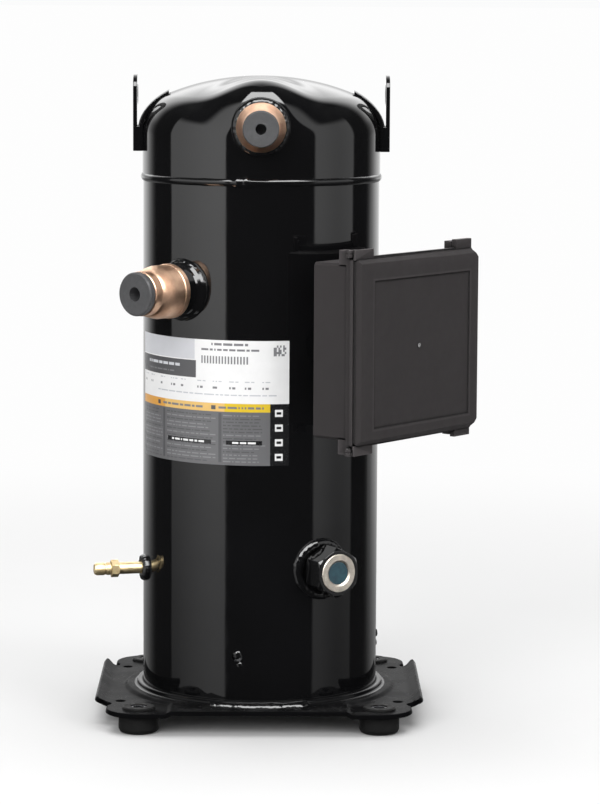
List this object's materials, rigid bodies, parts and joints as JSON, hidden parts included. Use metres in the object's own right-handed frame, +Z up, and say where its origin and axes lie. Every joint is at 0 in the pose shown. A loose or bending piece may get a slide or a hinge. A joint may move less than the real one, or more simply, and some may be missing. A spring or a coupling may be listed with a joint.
{
  "type": "scroll compressor",
  "caption": "Upright hermetic scroll compressor in a welded steel shell on a base plate with rubber feet, with suction and discharge stubs, an oil sight glass and a hinged terminal box.",
  "frame": {"origin": "centre of the square bolt pattern at floor level, on the shell axis", "axes": "+Z up along the shell axis, -Y towards the front where the discharge stub points, +X to the right seen from the front"},
  "size_m": [0.3083, 0.2754, 0.5163],
  "materials": {
    "black_paint": "gloss black enamel over pressed steel",
    "weld_paint": "weld bead under gloss black enamel",
    "foot_rubber": "matt black moulded rubber",
    "plug_rubber": "matt grey moulded rubber",
    "zinc_steel": "zinc-plated steel",
    "copper_plate": "copper-plated steel, lightly tarnished",
    "valve_brass": "machined brass",
    "ring_steel": "dull nickel-plated steel",
    "sight_lens": "dark blue-green fused glass",
    "seal_white": "white fluoropolymer",
    "spring_steel": "spring wire",
    "label_film": "printed film with a satin laminate",
    "box_plastic": "black glass-filled plastic, fine spark texture",
    "foam": "closed-cell foam",
    "fused_glass": "fused glass bead",
    "terminal_steel": "plain steel",
    "terminal_pin": "copper-cored pin",
    "module_plastic": "potted plastic case",
    "cast_iron": "machined grey iron",
    "bronze_bush": "bronze-backed bearing liner",
    "ground_steel": "ground steel",
    "lamination": "stacked electrical steel",
    "cast_aluminium": "die-cast aluminium",
    "winding_copper": "varnished copper wire",
    "bolt_steel": "black-oxide steel",
    "lead_sleeve": "woven insulating sleeve"
  },
  "bodies": {
    "housing": {"base_plate": "black_paint", "mounting_grommets": "foot_rubber", "grommet_sleeves": "bolt_steel", "bottom_cap": "black_paint", "shell": "black_paint", "separator_plate": "ground_steel", "top_cap": "black_paint", "cap_seam_weld": "weld_paint", "base_welds": "weld_paint", "lifting_lugs": "black_paint", "discharge_stub": "copper_plate", "discharge_weld": "weld_paint", "suction_stub": "copper_plate", "suction_weld": "weld_paint", "sight_glass_spud": "black_paint", "sight_glass_nut": "black_paint", "sight_glass_ring": "ring_steel", "sight_glass_lens": "sight_lens", "sight_glass_seal": "seal_white", "sight_glass_weld": "weld_paint", "oil_valve_body": "valve_brass", "oil_valve_weld": "weld_paint", "oil_valve_spring": "spring_steel", "plug_welds": "weld_paint", "data_label": "label_film", "terminal_box_base": "box_plastic", "cover_hinge_pins": "zinc_steel", "terminal_fence": "black_paint", "box_nuts": "zinc_steel", "terminal_cup": "terminal_steel", "terminal_pins": "terminal_pin", "terminal_glass": "fused_glass", "motor_protector": "module_plastic", "fixed_scroll": "cast_iron", "main_bearing_housing": "cast_iron", "main_bearing_bush": "bronze_bush", "stator_core": "lamination", "stator_windings": "winding_copper", "lower_bearing_bracket": "cast_iron", "lower_bearing_bush": "bronze_bush", "housing_bolts": "bolt_steel", "check_valve_guide": "ground_steel", "motor_leads": "lead_sleeve"},
    "crank": {"crankshaft": "ground_steel", "drive_bush": "ground_steel", "rotor_core": "lamination", "rotor_end_rings": "cast_aluminium", "upper_counterweight": "valve_brass", "lower_counterweight": "valve_brass"},
    "orbiter": {"orbiting_scroll": "cast_iron", "hub_bearing_bush": "bronze_bush"},
    "oldham": {"oldham_ring": "ground_steel"},
    "seal": {"floating_seal": "ground_steel"},
    "check_valve": {"check_valve_disc": "ground_steel"},
    "box_cover": {"terminal_box_cover": "box_plastic", "cover_gasket": "foam"},
    "suction_cap": {"suction_plug": "plug_rubber"},
    "discharge_cap": {"discharge_plug": "plug_rubber"},
    "valve_cap": {"oil_valve_cap": "valve_brass"},
    "valve_pin": {"oil_valve_core": "valve_brass"}
  },
  "joints": [
    {"name": "crank_spin", "type": "hinge", "parent": "housing", "child": "crank", "pos_m": [0, 0, 0.2], "axis": [0, 0, 1], "continuous": true},
    {"name": "scroll_orbit", "type": "hinge", "parent": "crank", "child": "orbiter", "pos_m": [0.00449, 0, 0.335], "axis": [0, 0, 1], "continuous": true},
    {"name": "oldham_slide", "type": "slide", "parent": "housing", "child": "oldham", "axis": [1, 0, 0], "range_m": [-0.00449, 0.00449]},
    {"name": "floating_seal_lift", "type": "slide", "parent": "housing", "child": "seal", "axis": [0, 0, 1], "range_m": [0, 0.0009]},
    {"name": "check_valve_lift", "type": "slide", "parent": "housing", "child": "check_valve", "axis": [0, 0, 1], "range_m": [0, 0.0035]},
    {"name": "cover_hinge", "type": "hinge", "parent": "housing", "child": "box_cover", "pos_m": [0.06788, -0.15709, 0.3088], "axis": [0, 0, -1], "range_deg": [0, 110]},
    {"name": "suction_plug_pull", "type": "slide", "parent": "housing", "child": "suction_cap", "axis": [-0.6428, -0.766, 0], "range_m": [0, 0.035]},
    {"name": "discharge_plug_pull", "type": "slide", "parent": "housing", "child": "discharge_cap", "axis": [0, -1, 0], "range_m": [0, 0.035]},
    {"name": "valve_cap_remove", "type": "slide", "parent": "housing", "child": "valve_cap", "axis": [-0.9703, -0.2419, 0], "range_m": [0, 0.025]},
    {"name": "valve_pin_press", "type": "slide", "parent": "housing", "child": "valve_pin", "axis": [0.9703, 0.2419, 0], "range_m": [0, 0.0015]}
  ],
  "couplings": [
    {"joint": "scroll_orbit", "follows": "crank_spin", "ratio": -1}
  ]
}
